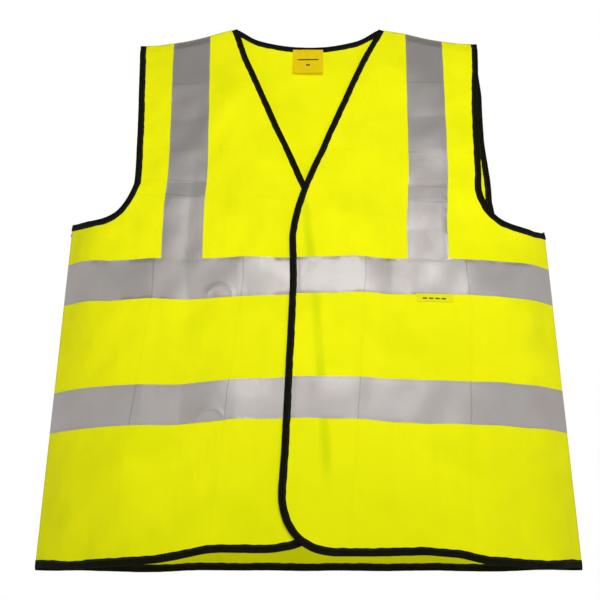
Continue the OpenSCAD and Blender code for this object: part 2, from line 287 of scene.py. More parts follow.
def slack_rise(side, x, z):
    """The buckled relief at any place of a sheet, between the points of its grid."""
    relief = SLACK[side]
    column = np.clip((x - SLACK_X[0]) / SLACK_STEP, 0, len(SLACK_X) - 1.001)
    row = np.clip((z - SLACK_Z[0]) / SLACK_STEP, 0, len(SLACK_Z) - 1.001)
    left, low = column.astype(int), row.astype(int)
    s, t = smooth(column - left), smooth(row - low)
    lower = relief[low, left] * (1 - s) + relief[low, left + 1] * s
    upper = relief[low + 1, left] * (1 - s) + relief[low + 1, left + 1] * s
    return lower * (1 - t) + upper * t


def folded(places, values, at):
    """Straight stretches between folds, with each fold slightly rounded."""
    places, values = np.array(places) * MM, np.array(values) * MM
    rounding = 0.9 * MM
    near = [np.interp(at + step * rounding, places, values) for step in (-2, -1, 0, 1, 2)]
    return sum(near) / len(near)


def fold_profile(side, column, at):
    places, values = zip(*((fold[0], fold[column]) for fold in UPRIGHT_FOLDS[side]))
    return folded(places, values, at)


def wrinkles(side, x, z, depth):
    """Outward displacement of a sheet by its folds and creases."""
    rise = BROAD_RISE * wave_field(BROAD[side], x, z)
    rise += MIDDLE_RISE * wave_field(MIDDLE[side], x, z)
    rise += FLUTE_RISE * wave_field(FLUTES[side], x, z) * ease(z, 200, -200) ** 1.5
    fade = np.clip(0.85 + 0.3 * wave_field(FADE, x, z), 0.4, 1.3)
    rise += fade * fold_profile(side, 1, x - FOLD_LEAN * (z - FOLD_MIDDLE_Z) * ease(x, 0, 50))
    level = folded(*zip(*LEVEL_FOLDS[side]), z + 4 * MM * np.sin(x / (40 * MM)))
    rise += fade * level * ease(np.abs(x), 80, 50)
    if side == FRONT:
        for middle_x, middle_z, radius in DENTS:
            ring = np.hypot(x - middle_x, z - middle_z) - radius
            rise += DENT_RISE * np.exp(-(ring / DENT_WIDTH) ** 2) * smooth((z - middle_z) / (0.4 * radius))
    rise += SLACK_SHARE * slack_rise(side, x, z)
    return rise * ease(depth, 0.4, 12)


def drift(side, x, z):
    """Small sideways and upward drift of the cloth from its true pattern, as it hangs. Every pull is
    a distance times the stretches of the cloth that it acts on."""
    reach = np.abs(x)
    mid_low, mid_high = 0.5 * sum(WAIST), 0.5 * sum(CHEST)
    share = np.clip((z - mid_low) / (mid_high - mid_low), 0.0, 1.0)
    body = smooth(z / mid_low) * ease(z, 560, -180)
    hem = ease(z, 140, -140)
    shoulder = ease(z, 580, 90)
    corner = hem * ease(reach, SIDE_X / MM, -50)
    across = 2.5 * MM * shoulder * ease(x, 190, 30)
    up = body * (share * fold_profile(side, 2, x) + (1 - share) * fold_profile(side, 3, x))
    if side == FRONT:
        middle = ease(reach, 125, -30)
        upper = middle * ease(z, TOP_Z / MM, -60) * ease(z, 310, 100)
        outer = (1 - middle) * ease(reach, 290, -100) * ease(z, 500, -100) * ease(z, 300, 60)
        across -= 4.3 * MM * (upper + outer) + 1.5 * MM * ease(z, 120, -60) * middle
        up += body * share * (z - mid_high) * np.where(x < 0, 0.09, -0.04) * ease(reach, 0, 100)
        lifted = 0.9 * ease(x, 90, 30) * ease(x, 190, -40)
        up -= 5 * MM * corner * ease(reach, 90, 70) * (1 - lifted)
        up -= 3.5 * MM * hem * ease(x, -30, 40) * ease(x, 130, -50)
    else:
        across += 4 * MM * ease(reach, 150, 50) * ease(z, 420, 40) * ease(z, 665, -50)
        across += 5 * MM * ease(x, 150, 50) * ease(z, 420, 30) * ease(z, 560, -80)
        up -= 5 * MM * ease(reach, 98, -30) * ease(z, 600, 70)
        up += 2.5 * MM * corner * ease(reach, 90, 70)
    up -= np.where(x < 0, 5 * MM, 3.5 * MM) * hem * ease(reach, 90, 110)
    up -= shoulder * (4.5 * MM * ease(x, -105, -40) + 4 * MM * ease(reach, 125, 50))
    up += 2.5 * MM * shoulder * ease(reach, 205, 25)
    return across, up


def lay(side, x, z, out, front=0.0):
    """Points in space for pattern points. front is LEFT or RIGHT for a lapping front, else 0."""
    x, z = np.broadcast_arrays(np.asarray(x, float), np.asarray(z, float))
    depth = sheet_depth(x, z)
    rise = depth + wrinkles(side, x, z, depth) + out
    if front:
        reach = np.maximum(turned_in(front, x, z), 0.0)
        rise = rise + front * math.tan(LAP_ANGLE) * reach * ease(reach, 0, 30)
    across, up = drift(side, x, z)
    return np.stack([x + across, side * rise, z + up], -1)


def turned_in(front, x, z):
    """Distance from the fold line of a front towards the middle."""
    return fold_x(z) - front * x


# ---- Pattern outlines ----

def bend(a, c, b, count=24):
    """Points of a curve from a to b that leaves and arrives pointing at the corner c."""
    t = np.linspace(0, 1, count)[:, None]
    return (1 - t) ** 2 * np.array(a) + 2 * t * (1 - t) * np.array(c) + t * t * np.array(b)


def run_along(points):
    """Distance along a line to each of its points."""
    return np.concatenate([[0], np.cumsum(np.linalg.norm(np.diff(points, axis=0), axis=1))])


def resample(points, step):
    """The same line with points at an even spacing."""
    points = np.asarray(points, float)
    run = run_along(points)
    count = max(2, int(round(run[-1] / step)) + 1)
    at = np.linspace(0, run[-1], count)
    return np.stack([np.interp(at, run, points[:, 0]), np.interp(at, run, points[:, 1])], 1)


def inward(points):
    """Unit normals to the left of a line's direction."""
    d = np.gradient(points, axis=0)
    d /= np.linalg.norm(d, axis=1)[:, None]
    return np.stack([-d[:, 1], d[:, 0]], 1)


def v_line(x):
    return np.array([x, V_POINT_Z + x * (TOP_Z - V_POINT_Z) / NECK_X])


def front_edge(front):
    """The bound edge of the wearer's left front from neck point to side seam. The right front's
    own edge is this line for RIGHT, mirrored by the caller."""
    top, low = LAP_TOP[front], LAP_LOW[front]
    bend_z, edge_z = {LEFT: (479 * MM, 385 * MM), RIGHT: (461 * MM, 420 * MM)}[front]
    start_x = NECK_X * (bend_z - V_POINT_Z) / (TOP_Z - V_POINT_Z)
    corner = np.array([-low, FRONT_HEM_Z])
    points = np.vstack([
        [v_line(NECK_X)],
        bend(v_line(start_x), v_line(-0.7 * top), (-top, edge_z)),
        bend(corner + [0, CORNER_R], corner, corner + [CORNER_R, 0]),
        [[HEM_BEND_X, FRONT_HEM_Z], [SIDE_X - SEAM_GAP, SIDE_HEM_Z]],
    ])
    return resample(points, EDGE_STEP)


def armhole_edge(extra):
    """The bound edge of an armhole from the side seam up to the shoulder end."""
    waist_x = ARMHOLE_X + extra
    low = (waist_x, ARMHOLE_Z + 53 * MM)
    lean_x = waist_x + 0.3 * (SHOULDER_X - waist_x)
    end = (SHOULDER_X, float(shoulder_z(SHOULDER_X)))
    points = np.vstack([
        bend((SIDE_X - SEAM_GAP, ARMHOLE_Z), (waist_x + 9 * MM, ARMHOLE_Z - 10 * MM), low),
        bend((waist_x, ARMHOLE_Z + 61 * MM), (lean_x, ARMHOLE_Z + 161 * MM), end),
        [(end[0], end[1] + 2 * MM)],
    ])
    return resample(points, EDGE_STEP)


def back_neck_edge():
    """The back neckline from the wearer's left neck point to the right one."""
    radius = (NECK_X ** 2 + NECK_DROP ** 2) / (2 * NECK_DROP)
    reach = math.asin(NECK_X / radius)
    angle = np.linspace(reach, -reach, 80)
    return np.stack([radius * np.sin(angle), TOP_Z - NECK_DROP + radius * (1 - np.cos(angle))], 1)


def back_hem_edge():
    return resample([(-SIDE_X + SEAM_GAP, 0), (SIDE_X - SEAM_GAP, 0)], EDGE_STEP)


def mirror_x(points):
    """The mirror image, run the other way so that inward() still points into the cloth."""
    return points[::-1] * np.array([-1.0, 1.0])


def pulled_in(points, distance):
    return points + inward(points) * distance


# ---- Mesh building ----

def new_object(name, data):
    obj = bpy.data.objects.new(name, data)
    bpy.context.scene.collection.objects.link(obj)
    return obj


def new_piece(name, verts, faces, look, pattern=None, shade=None, crisp=None):
    """A mesh object. look is its material and a slot of the record, and the slot is not used; shade is 0 to
    1 for each point; edges sharper than crisp degrees stay hard."""
    material, slot = look
    mesh = bpy.data.meshes.new(name)
    mesh.from_pydata(np.asarray(verts).reshape(-1, 3).tolist(), [], faces)
    mesh.update()
    for polygon in mesh.polygons:
        polygon.use_smooth = True
    if crisp:
        mesh.set_sharp_from_angle(angle=math.radians(crisp))
    if pattern is not None:
        attribute = mesh.attributes.new("pattern", "FLOAT_VECTOR", "POINT")
        attribute.data.foreach_set("vector", np.asarray(pattern, np.float32).ravel())
    attribute = mesh.attributes.new("shade", "FLOAT", "POINT")
    values = np.zeros(len(mesh.vertices)) if shade is None else shade
    attribute.data.foreach_set("value", np.asarray(values, np.float32))
    mesh.materials.append(material)
    obj = new_object(name, mesh)
    return obj


def flipped(faces):
    return [face[::-1] for face in faces]


def grid_faces(rows, columns):
    return [
        [r * columns + c, r * columns + c + 1, (r + 1) * columns + c + 1, (r + 1) * columns + c]
        for r in range(rows - 1) for c in range(columns - 1)
    ]


def tube_faces(rings, sides):
    """A closed tube: quads between neighbouring rings, and a cap at each end."""
    walls = [
        [r * sides + c, r * sides + (c + 1) % sides, (r + 1) * sides + (c + 1) % sides, (r + 1) * sides + c]
        for r in range(rings - 1) for c in range(sides)
    ]
    return walls + [list(range(sides))[::-1], [(rings - 1) * sides + c for c in range(sides)]]


def ring_angles(sides):
    return np.arange(sides) * 2 * math.pi / sides


def shell_faces(faces, count):
    """Closes a sheet of count points into a shell: outer faces, inner faces and a wall at the rim."""
    edges = {edge: None for face in faces for edge in zip(face, face[1:] + face[:1])}
    rim = [(a, b) for a, b in edges if (b, a) not in edges]
    inner = [[i + count for i in reversed(face)] for face in faces]
    return faces + inner + [[b, a, a + count, b + count] for a, b in rim]


def laid_shell(x, z, faces, side, front, out):
    """Points, faces and pattern of a closed thin shell. out is its inner and outer distances."""
    verts = np.vstack([lay(side, x, z, out[1], front), lay(side, x, z, out[0], front)])
    pattern = np.stack([np.tile(x, 2), np.tile(z, 2), np.full(2 * len(x), side - FRONT)], 1)
    return verts, shell_faces(flipped(faces) if side == BACK else faces, len(x)), pattern


def shell(name, x, z, faces, side, front, out, look, shade=None, crisp=None):
    """A piece that is one closed thin shell over pattern points x, z."""
    verts, closed, pattern = laid_shell(x, z, faces, side, front, out)
    both = None if shade is None else np.tile(shade, 2)
    return new_piece(name, verts, closed, look, pattern, both, crisp)


def in_parts(points, test):
    """A test of many points, a few thousand at a time to save memory."""
    size = 4000
    return np.concatenate([test(points[start:start + size]) for start in range(0, len(points), size)])


def inside(points, outline):
    """Which points are in a closed outline."""
    a, b = outline, np.roll(outline, -1, axis=0)
    run = np.where(b[:, 1] == a[:, 1], 1.0, b[:, 1] - a[:, 1])

    def crossings(part):
        crosses = (a[:, 1] > part[:, 1:2]) != (b[:, 1] > part[:, 1:2])
        at = a[:, 0] + (part[:, 1:2] - a[:, 1]) / run * (b[:, 0] - a[:, 0])
        return np.sum(crosses & (part[:, 0:1] < at), axis=1)

    return in_parts(points, crossings) % 2 == 1


def clear_of(points, outline, distance):
    """Which points are further than a distance from every point of an outline."""
    def gap(part):
        return np.hypot(part[:, 0:1] - outline[:, 0], part[:, 1:2] - outline[:, 1]).min(axis=1)

    return in_parts(points, gap) > distance


def fill(outline, step_x, step_z, front=0.0):
    """Triangles over a closed outline, on an even grid of pattern points, twice as fine across where
    a front folds."""
    low, high = outline.min(axis=0), outline.max(axis=0)
    columns = np.arange(2 * math.floor(low[0] / step_x), 2 * math.ceil(high[0] / step_x) + 1)
    xs = columns * 0.5 * step_x
    zs = np.arange(math.floor(low[1] / step_z), math.ceil(high[1] / step_z) + 1) * step_z
    grid = np.stack(list(flat_grid(xs, zs)), 1)
    turned = turned_in(front, grid[:, 0], grid[:, 1])
    folding = (turned > -2 * step_x) & (turned < FOLD_RUN + 2 * step_x) & (front != 0.0)
    grid = grid[folding | np.tile(columns % 2 == 0, len(zs))]
    grid = grid[inside(grid, outline)]
    grid = grid[clear_of(grid, outline, 0.55 * min(step_x, step_z))]
    count = len(outline)
    edges = [(i, (i + 1) % count) for i in range(count)]
    made = delaunay_2d_cdt([Vector(p) for p in np.vstack([outline, grid]).tolist()], edges, [], 1, 1e-6)
    found = np.array([tuple(v) for v in made[0]])
    return found[:, 0], found[:, 1], [list(face) for face in made[2]]


def sweep(name, path, profile, side, front, look, seed):
    """A closed bar along a pattern line, slightly uneven. profile holds (distance inwards, out) pairs."""
    normal = inward(path)
    run = run_along(path)
    rng = np.random.RandomState(seed)
    wander = sum(np.sin(run / w + rng.uniform(0, 6)) for w in (2.1 * MM, 3.3 * MM, 6.5 * MM, 14 * MM)) / 4
    lift = sum(np.sin(run / w + rng.uniform(0, 6)) for w in (1.7 * MM, 2.9 * MM, 8 * MM)) / 3
    away = profile[None, :, 0] * (1 + 0.05 * wander[:, None]) + 0.12 * MM * wander[:, None]
    x = path[:, None, 0] + normal[:, None, 0] * away
    z = path[:, None, 1] + normal[:, None, 1] * away
    verts = lay(side, x, z, profile[None, :, 1] * (1 + 0.12 * lift[:, None]), front)
    faces = tube_faces(*x.shape)
    along = np.broadcast_to(run[:, None], x.shape)
    pattern = np.stack([along, away, np.zeros_like(away)], -1).reshape(-1, 3)
    return new_piece(name, verts, flipped(faces) if side == BACK else faces, look, pattern, None, 50)


def stitch_rows(name, rows, look):
    """Separate stitches along pattern lines. A row is (line, side, front, out)."""
    # Rings of one stitch: place along it, size and lift, as shares of its length and radius
    rings = ((0.0, 0.35, -0.75), (0.18, 0.95, 0.15), (0.5, 1.0, 0.5), (0.82, 0.95, 0.15), (1.0, 0.35, -0.75))
    angle = ring_angles(STITCH_SIDES)
    verts = []
    for line, side, front, out in rows:
        line = resample(line, STITCH_PITCH)
        step = np.diff(line, axis=0)
        along = step / np.linalg.norm(step, axis=1)[:, None]
        normal = np.stack([-along[:, 1], along[:, 0]], 1)
        blocks = []
        for at, size, lift in rings:
            middle = line[:-1] + step * at * STITCH_LENGTH / STITCH_PITCH
            ring = middle[:, None] + normal[:, None] * (STITCH_RADIUS * size * np.cos(angle))[:, None]
            height = out + STITCH_RADIUS * (lift + size * np.sin(angle))
            blocks.append(lay(side, ring[..., 0], ring[..., 1], height, front))
        verts.append(np.stack(blocks, 1).reshape(-1, 3))
    verts = np.vstack(verts)
    stitch = tube_faces(len(rings), STITCH_SIDES)
    starts = range(0, len(verts), len(rings) * STITCH_SIDES)
    faces = [[start + i for i in face] for start in starts for face in stitch]
    return new_piece(name, verts, flipped(faces) if rows[0][1] == BACK else faces, look)


def attach(piece, body, *nodes):
    """The piece moves with a body; where body is LEFT or RIGHT its place is only baked into its mesh.
    It takes the place of the CAD nodes named."""
    if body in (LEFT, RIGHT):
        word = "left" if body == LEFT else "right"
        joint = joints[f"{word}_front_fold"]
        axis = Vector(joint["axis"]).normalized()
        across = Vector((-body, 0.0, 0.0))
        across = (across - axis * across.dot(axis)).normalized()
        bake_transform(piece)
    else:
        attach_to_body(piece, body)
    if nodes:
        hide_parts(*nodes)


def rope(name, centres, radius_y, radius_n, normal, look, *nodes):
    """A closed tube of oval section along points in space, fixed to the body of the vest."""
    angle = ring_angles(8)
    ring = np.stack([
        normal[0] * radius_n * np.cos(angle), radius_y * np.sin(angle), normal[1] * radius_n * np.cos(angle)
    ], -1)
    verts = np.asarray(centres, float)[:, None] + ring[None]
    faces = tube_faces(len(verts), len(angle))
    attach(new_piece(name, verts, faces, look, verts.reshape(-1, 3)[:, [0, 2, 1]]), "torso", *nodes)


def slab(name, points, columns, thickness, look, body, *nodes):
    """A closed curved slab facing forwards, from a grid of points in space."""
    half = OUTWARD * thickness / 2
    closed = shell_faces(grid_faces(len(points) // columns, columns), len(points))
    pattern = np.tile(points[:, [0, 2, 1]], (2, 1))
    piece = new_piece(name, np.vstack([points + half, points - half]), closed, look, pattern, None, 40)
    attach(piece, body, *nodes)


# ---- Materials ----

class Shader:
    """Builds a node tree. Each call adds one node and gives back its output."""

    def __init__(self, tree, base):
        self.nodes = tree.nodes
        self.links = tree.links
        self.base = tree.nodes[base]

    def set(self, node, inputs):
        """Sets each input of a node, or links it where the value is another node's output."""
        for key, value in inputs.items():
            if isinstance(value, bpy.types.NodeSocket):
                self.links.new(value, node.inputs[key])
            else:
                node.inputs[key].default_value = value

    def add(self, kind, inputs, output=0, **settings):
        """Adds any shader node by the end of its type's name."""
        node = self.nodes.new("ShaderNode" + kind)
        for key, value in settings.items():
            setattr(node, key, value)
        self.set(node, inputs)
        return node.outputs[output]

    def total(self, a, b):
        return self.add("Math", {0: a, 1: b}, operation="ADD")

    def product(self, a, b):
        return self.add("Math", {0: a, 1: b}, operation="MULTIPLY")

    def vector(self, operation, a, b):
        return self.add("VectorMath", {0: a, 1: b}, operation=operation)

    def axes(self, vector):
        """The first two parts of a vector."""
        split = self.nodes.new("ShaderNodeSeparateXYZ")
        self.links.new(vector, split.inputs[0])
        return split.outputs[0], split.outputs[1]

    def pattern(self):
        """The pattern vector of a piece, and its two axes."""
        where = self.add("Attribute", {}, "Vector", attribute_name="pattern")
        return where, *self.axes(where)

    def rib(self, value, pitch):
        """A sine across a pattern axis, from -1 to 1."""
        return self.add("Math", {0: self.product(value, 2 * math.pi / pitch)}, operation="SINE")

    def ramp(self, value, low, high, start=0.0, end=1.0):
        """A straight run from start to end as the value goes from low to high."""
        return self.add("MapRange", {
            "Value": value, "From Min": low, "From Max": high, "To Min": start, "To Max": end})

    def noise(self, where, scale, detail=3.0, roughness=0.55, output=0):
        return self.add("TexNoise", {
            "Vector": where, "Scale": scale, "Detail": detail, "Roughness": roughness}, output)

    def stretched(self, where, across, up):
        return self.add("Mapping", {"Vector": where, "Scale": (across, up, 1.0)})

    def seen_or_cast(self, seen, cast):
        """One strength as the camera sees it, and another as it lights the vest."""
        return self.ramp(self.add("LightPath", {}, "Is Camera Ray"), 0.0, 1.0, cast, seen)

    def mix(self, factor, a, b):
        return self.add("Mix", {0: factor, 6: a, 7: b}, 2, data_type="RGBA")

    def bump(self, height, strength, distance, **below):
        return self.add("Bump", {"Height": height, "Strength": strength, "Distance": distance, **below})


def new_material(name):
    material = bpy.data.materials.new(name)
    material.use_nodes = True
    return material, Shader(material.node_tree, "Principled BSDF")


def linear(r, g, b):
    """Linear colour from display values of 0 to 255."""
    def one(v):
        v /= 255.0
        return v / 12.92 if v <= 0.04045 else ((v + 0.055) / 1.055) ** 2.4
    return (one(r), one(g), one(b), 1.0)


def crease_lines(s, value, places, width):
    """1 on each line across a pattern axis, falling to 0 at the given half width."""
    found = 0.0
    for place in places:
        away = s.add("Math", {0: s.total(value, -place)}, operation="ABSOLUTE")
        found = s.total(found, s.ramp(away, 0.0, width, 1.0, 0.0))
    return found


def moved_about(s, where, scale, detail, reach):
    """The pattern moved about a little by noise."""
    cloud = s.noise(where, scale, detail, 0.5, "Color")
    shift = s.vector("SUBTRACT", cloud, (0.5, 0.5, 0.5))
    return s.vector("ADD", s.add("VectorMath", {0: shift, "Scale": reach}, operation="SCALE"), where)


def fold_line_shade_and_wear(s, where, half_width):
    """The thin lines along the packing folds, painted darker: shade in the creases, and on the tape wear of
    the beads as well.
    """
    x, y = s.axes(moved_about(s, where, 14.0, 3.0, 8 * MM))
    upright = crease_lines(s, s.total(x, s.product(y, -FOLD_LEAN)), PRESSED_X, half_width)
    low_part = s.ramp(y, 0.35, 0.37, 1.0, 0.0)
    level = crease_lines(s, y, PRESSED_Z, half_width)
    here_and_there = s.ramp(s.noise(where, 16.0, 2.0), 0.44, 0.6)
    return s.total(s.product(upright, low_part), s.product(level, here_and_there))


def dent_lines(s, where):
    """The thin arched line of painted shade over each small dent."""
    moved = moved_about(s, where, 26.0, 1.0, 14 * MM)
    found = 0.0
    for middle_x, middle_z, radius in DENTS:
        ray = s.vector("SUBTRACT", moved, (middle_x, middle_z, 0.0))
        away = s.add("VectorMath", {0: ray}, "Value", operation="LENGTH")
        top = s.ramp(s.axes(ray)[1], 0.0, 0.5 * radius)
        found = s.total(found, s.product(crease_lines(s, away, (radius,), 1.3 * MM), top))
    return found


def cloth_material():
    """Fluorescent warp-knit polyester: fine mesh bump, tonal drift, painted shade in streaks, soft patches,
    crease lines and towards the hem, the under edge showing through, and a slight painted glow.
    """
    material, s = new_material("fluorescent_cloth")
    where, x, y = s.pattern()
    # Painted shade of soft upright folds, as darker and greener vertical streaks
    streaks = s.ramp(s.noise(s.stretched(where, 60.0, 6.0), 1.0), 0.45, 0.85)
    # Painted shade of the slack cloth's soft wrinkles, in patches
    slack = s.ramp(s.noise(where, 13.0, 2.0, 0.4), 0.5, 0.66)
    # Painted shade, darker towards the hem
    low_part = s.ramp(y, 0.2, 0.0)
    shade = s.add("Attribute", {}, "Fac", attribute_name="shade")
    loops = s.product(s.rib(x, 1.1 * MM), s.rib(y, 1.4 * MM))
    yarn = s.noise(where, 2600.0, 2.0)
    colour = s.mix(s.ramp(s.noise(where, 7.0), 0.35, 0.7), linear(236, 236, 12), linear(247, 246, 14))
    for factor, tint in (
            (s.product(streaks, 0.35), (226, 232, 6)),
            (s.total(s.product(slack, 0.4), s.product(low_part, 0.55)), (222, 228, 6)),
            (shade, (196, 214, 6)),
            # painted shade along the fold lines
            (s.product(fold_line_shade_and_wear(s, where, 3.0 * MM), 0.22), (222, 226, 2)),
            (s.product(s.ramp(loops, 0.35, 1.0), 0.22), (188, 196, 2))):
        colour = s.mix(factor, colour, linear(*tint))
    s.set(s.base, {
        "Base Color": colour,
        # Painted glow: the cloth's own colour given off as light, which keeps its shaded parts bright
        "Emission Color": colour,
        "Emission Strength": 0.16,
        "Normal": s.bump(s.total(s.product(loops, -0.6), s.product(yarn, 0.5)), 0.35, 0.3 * MM),
        "Roughness": s.ramp(yarn, 0.0, 1.0, 0.55, 0.8),
        "Specular IOR Level": 0.25,
        "Specular Tint": (1.0, 1.0, 0.15, 1.0),
        "Sheen Weight": 0.08,
        "Sheen Roughness": 0.5,
        "Sheen Tint": (1.0, 1.0, 0.1, 1.0),
    })
    return material


def tape_material():
    """Silver glass-bead tape: a grey satin face with a fine bead texture and painted glints of its beads,
    rubbed patches, crinkles, and dark lines of painted shade along its folds and dents, with bead wear along
    the folds.
    """
    material, s = new_material("reflective_tape")
    where, x, y = s.pattern()
    patches = s.ramp(s.noise(where, 14.0), 0.3, 0.75)
    # Dark lines on the tape: painted shade and bead wear along the folds, and painted shade over the dents
    lines = s.total(fold_line_shade_and_wear(s, where, 1.1 * MM), s.product(dent_lines(s, where), 0.6))
    bead_grain_and_glints = s.noise(where, 3800.0, 2.0, 0.7)
    weave = s.product(s.rib(x, 0.55 * MM), s.rib(y, 0.55 * MM))
    crinkle = s.noise(s.stretched(where, 90.0, 30.0), 1.0, 4.0, 0.6)
    colour = s.mix(patches, linear(202, 194, 188), linear(214, 209, 206))
    colour = s.mix(s.product(lines, 0.5), colour, linear(118, 114, 112))
    # Lighter specks of the bead texture: painted glints of the glass beads
    colour = s.mix(s.product(s.ramp(bead_grain_and_glints, 0.35, 0.7), 0.22), colour, linear(226, 224, 222))
    small = s.bump(s.total(s.product(bead_grain_and_glints, 0.3), s.product(weave, 0.12)), 0.25, 0.2 * MM)
    s.set(s.base, {
        "Base Color": colour,
        "Normal": s.bump(crinkle, 0.22, 0.8 * MM, Normal=small),
        "Roughness": s.ramp(patches, 0.0, 1.0, 0.38, 0.33),
        "Metallic": 0.7,
    })
    return material


def binding_material():
    """Folded black polyester binding: fine cross ribs, lint and a patchy dark olive cast."""
    material, s = new_material("edge_binding")
    where, x, _ = s.pattern()
    ribs = s.rib(x, 0.75 * MM)
    lint = s.noise(where, 2200.0, 2.0)
    colour = s.mix(s.ramp(s.noise(where, 160.0, 4.0), 0.4, 0.8), linear(9, 9, 3), linear(22, 20, 8))
    colour = s.mix(s.product(s.ramp(ribs, 0.2, 1.0), 0.25), colour, linear(34, 32, 20))
    s.set(s.base, {
        "Base Color": colour,
        "Normal": s.bump(s.total(s.product(ribs, 0.5), s.product(lint, 0.6)), 0.5, 0.2 * MM),
        "Roughness": s.ramp(lint, 0.0, 1.0, 0.6, 0.85),
        "Specular IOR Level": 0.14,
        "Sheen Weight": 0.03,
    })
    return material


def thread_material(name, low, high, roughness=0.55):
    """Sewing thread or nylon: two tones of one colour in fine noise."""
    material, s = new_material(name)
    tone = s.noise(s.add("TexCoord", {}, "Object"), 900.0)
    s.set(s.base, {
        "Base Color": s.mix(s.ramp(tone, 0.35, 0.7), linear(*low), linear(*high)),
        "Normal": s.bump(tone, 0.4, 0.2 * MM),
        "Roughness": roughness,
        "Sheen Weight": 0.2,
    })
    return material


def ribbon_material(name, low, high):
    """Woven satin ribbon for the labels: close cross ribs with a soft shine."""
    material, s = new_material(name)
    where, _, y = s.pattern()
    s.set(s.base, {
        "Base Color": s.mix(s.ramp(s.noise(where, 90.0), 0.3, 0.7), linear(*low), linear(*high)),
        "Normal": s.bump(s.rib(y, 0.5 * MM), 0.3, 0.2 * MM),
        "Roughness": 0.5,
        "Specular IOR Level": 0.25,
        "Specular Tint": (1.0, 0.9, 0.3, 1.0),
        "Sheen Weight": 0.03,
    })
    return material


# Looks: a material and the slot of the record that it belongs to
cloth = (cloth_material(), "fluorescent_cloth")
seam_cloth = (cloth[0], "seam_thread")
tape = (tape_material(), "reflective_tape")
binding = (binding_material(), "edge_binding")
tape_thread = (thread_material("tape_thread", (168, 165, 158), (206, 204, 198)), "reflective_tape")
binding_thread = (thread_material("binding_thread", (22, 22, 16), (52, 50, 42)), "edge_binding")
cloth_thread = (thread_material("cloth_thread", (206, 212, 20), (240, 240, 60)), "seam_thread")
hook_nylon = (thread_material("hook_nylon", (20, 20, 20), (46, 46, 44), 0.4), "hook_strip")
loop_nylon = (thread_material("loop_nylon", (26, 26, 25), (60, 60, 56), 0.9), "loop_strip")
gold_ribbon = (ribbon_material("gold_ribbon", (246, 208, 4), (252, 224, 14)), "label_ribbon")
yellow_ribbon = (ribbon_material("yellow_ribbon", (244, 242, 16), (250, 248, 34)), "label_ribbon")
label_ink = (thread_material("label_ink", (44, 30, 8), (70, 48, 14), 0.6), "label_ribbon")


# ---- Pieces ----

SIDES = (("left", LEFT), ("right", RIGHT))
SHEETS = (("front", FRONT), ("back", BACK))
TRIM = 1.4 * MM
CLOTH_STEPS = (3.2 * MM, 4.5 * MM)

SLACK = {side: buckled(side) for side in (FRONT, BACK)}


def mirrored(front, points):
    return points if front == LEFT else mirror_x(points)


def joined(*lines):
    """A closed outline of bound edges, trimmed under their binding, with straight seams between."""
    edges = [pulled_in(line, TRIM) for line in lines]
    parts = []
    for edge, following in zip(edges, edges[1:] + edges[:1]):
        parts += [edge, resample([edge[-1], following[0]], 3 * MM)[1:-1]]
    return np.vstack(parts)


def under_edge_shade(x, z):
    """How strongly the right front's dark edge shows through the left front."""
    strongest = 0.7
    half_width = 5.5 * MM
    lean, middle_z = 0.04, 220 * MM
    edge = front_edge(RIGHT) * np.array([-1.0, 1.0])
    edge = edge[edge[:, 1] < V_POINT_Z - 10 * MM]
    edge = edge[: int(np.argmin(edge[:, 1])) + 1]
    middle = edge[:, 0] - BINDING_W / 2 + lean * (middle_z - edge[:, 1])
    nearest = np.hypot(x[:, None] - middle, z[:, None] - edge[:, 1]).min(axis=1)
    strip = np.exp(-(nearest / half_width) ** 4)
    patchy = 0.72 + 0.28 * np.sin(z / (19 * MM) + 1.0) * np.sin(z / (47 * MM))
    return strongest * strip * patchy * ease(z, 60, 50)


def fold_sink(front, x, z):
    """How far a front's cloth is sunk behind its tapes where it folds, to stay behind them."""
    turned = turned_in(front, x, z)
    folding = ease(turned, -8, 10) * ease(turned, FOLD_RUN / MM + 8, -10)
    under = sum(ease(z, low / MM - 10, 10) * ease(z, high / MM + 10, -10) for low, high in (CHEST, WAIST))
    return FOLD_SINK * folding * under


for word, front in SIDES:
    outline = mirrored(front, joined(front_edge(front), armhole_edge(0.0)))
    x, z, faces = fill(outline, *CLOTH_STEPS, front)
    sink = fold_sink(front, x, z)
    shade = under_edge_shade(x, z) if front == LEFT else None
    out = (CLOTH_OUT[0] - sink, CLOTH_OUT[1] - sink)
    piece = shell(f"{word}_front_cloth", x, z, faces, FRONT, front, out, cloth, shade)
    attach(piece, front, f"{word}_front_panel", f"{word}_front_side")

back_arm = armhole_edge(BACK_EXTRA)
back_outline = joined(back_hem_edge(), back_arm, back_neck_edge(), mirror_x(back_arm))
x, z, faces = fill(back_outline, *CLOTH_STEPS)
attach(shell("back_cloth", x, z, faces, BACK, 0.0, CLOTH_OUT, cloth), "torso", "back_panel")


# ---- Tapes ----

TAPE_COLUMN = 1.6 * MM
STITCH_OUT = TAPE_OUT[1] - 0.12 * MM
# Places across a tape as shares of its width, closer together at its two stitch rows
TAPE_STEPS = np.concatenate([(0, 0.8, 2.0, 3.2), np.arange(5.5, 45, 2.6), (46.8, 48, 49.2, 50)]) / 50
ROW_SHARE = (2 / 50, 48 / 50)


def tape_dip(share, along):
    """Quilted dips along the two stitch rows, and a slightly turned-down edge."""
    row = np.minimum(np.abs(share - ROW_SHARE[0]), np.abs(share - ROW_SHARE[1])) * 50 * MM
    pull = 0.16 * MM * np.exp(-(row / (1.3 * MM)) ** 2) * (0.8 + 0.2 * np.sin(along / (1.1 * MM)))
    edge = 0.1 * MM * np.exp(-np.minimum(share, 1 - share) * 50 / 0.5)
    return pull + edge


